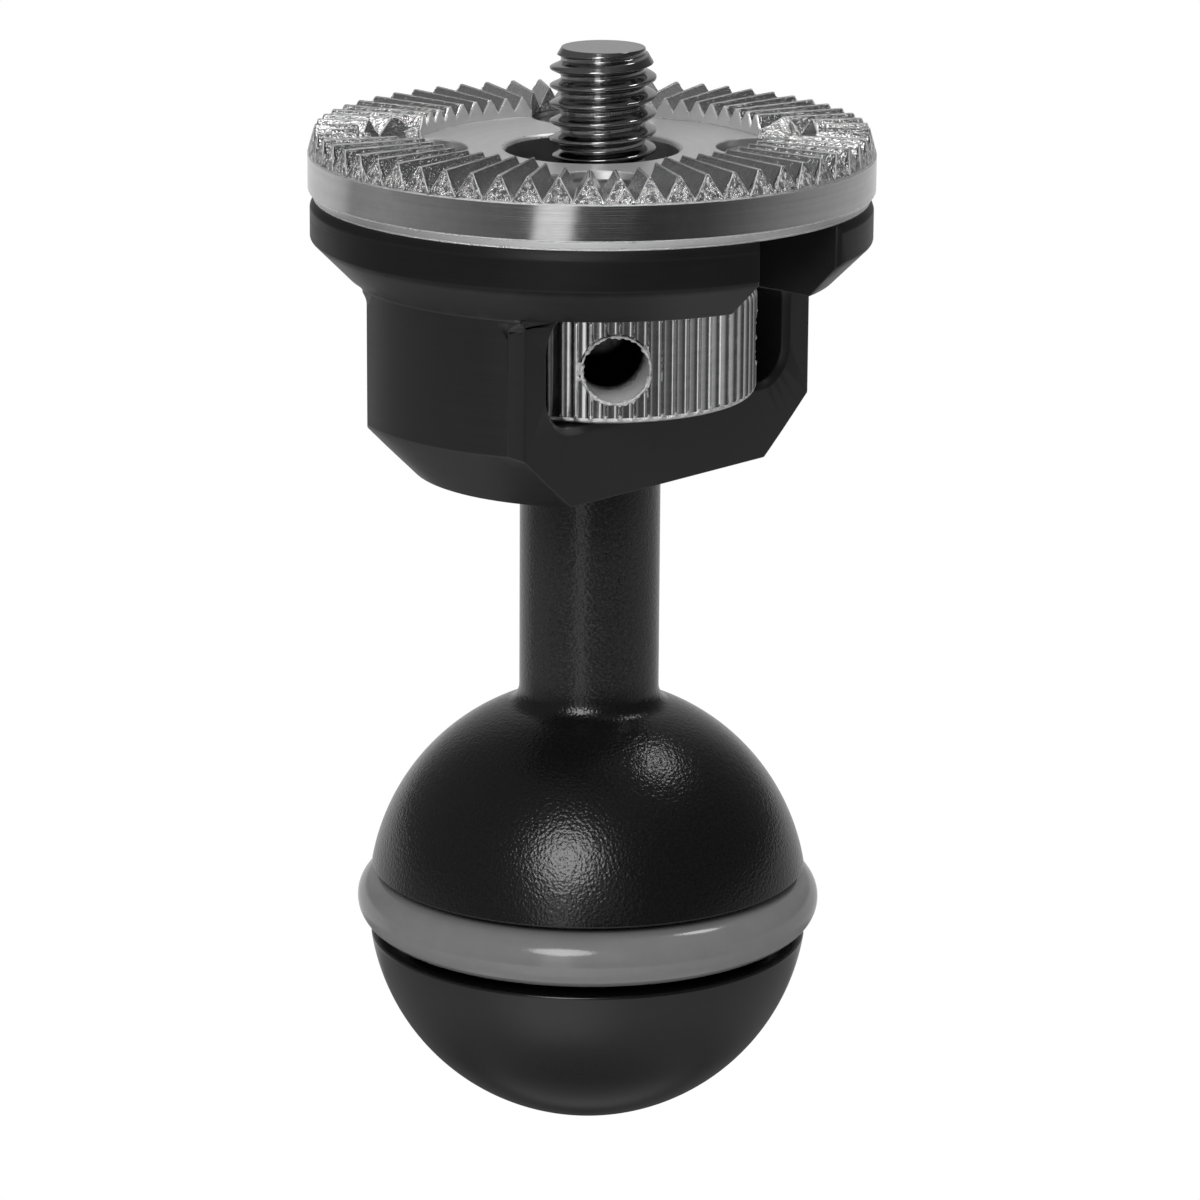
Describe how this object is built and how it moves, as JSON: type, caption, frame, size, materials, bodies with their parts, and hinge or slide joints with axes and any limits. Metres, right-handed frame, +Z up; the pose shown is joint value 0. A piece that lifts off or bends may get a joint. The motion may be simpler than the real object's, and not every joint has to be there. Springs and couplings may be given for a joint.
{
  "type": "rosette ball adapter",
  "caption": "Camera-arm adapter: a ball with a rubber ring on a stem, under a housing with a toothed steel rosette and a captive knurled clamping screw.",
  "frame": {"origin": "centre of the ball", "axes": "+Z up the stem to the clamping screw's tip; the screw slot in the housing opens towards -Y; the wheel's window runs through along Y"},
  "size_m": [0.0318, 0.0318, 0.0625],
  "materials": {
    "housing": "black anodised, fine turned and milled, satin",
    "rosette": "turned and milled stainless steel, satin",
    "rosette_screws": "stainless steel, semi-bright",
    "clamp_screw": "turned stainless steel, bright",
    "ball_stem": "bead blasted, black anodised",
    "ring": "smooth moulded, semi-gloss",
    "stem_bolt": "black oxide"
  },
  "bodies": {
    "adapter": {"housing": "housing", "rosette": "rosette", "rosette_screw_1": "rosette_screws", "rosette_screw_2": "rosette_screws", "rosette_screw_3": "rosette_screws", "rosette_screw_4": "rosette_screws", "ball_stem": "ball_stem", "ball_ring": "ring", "stem_bolt": "stem_bolt"},
    "screw": {"clamp_screw": "clamp_screw"}
  },
  "joints": [
    {"name": "clamp_turn", "type": "hinge", "parent": "adapter", "child": "screw", "pos_m": [0, -0.0008, 0.0334], "axis": [0, 0, 1], "continuous": true}
  ]
}
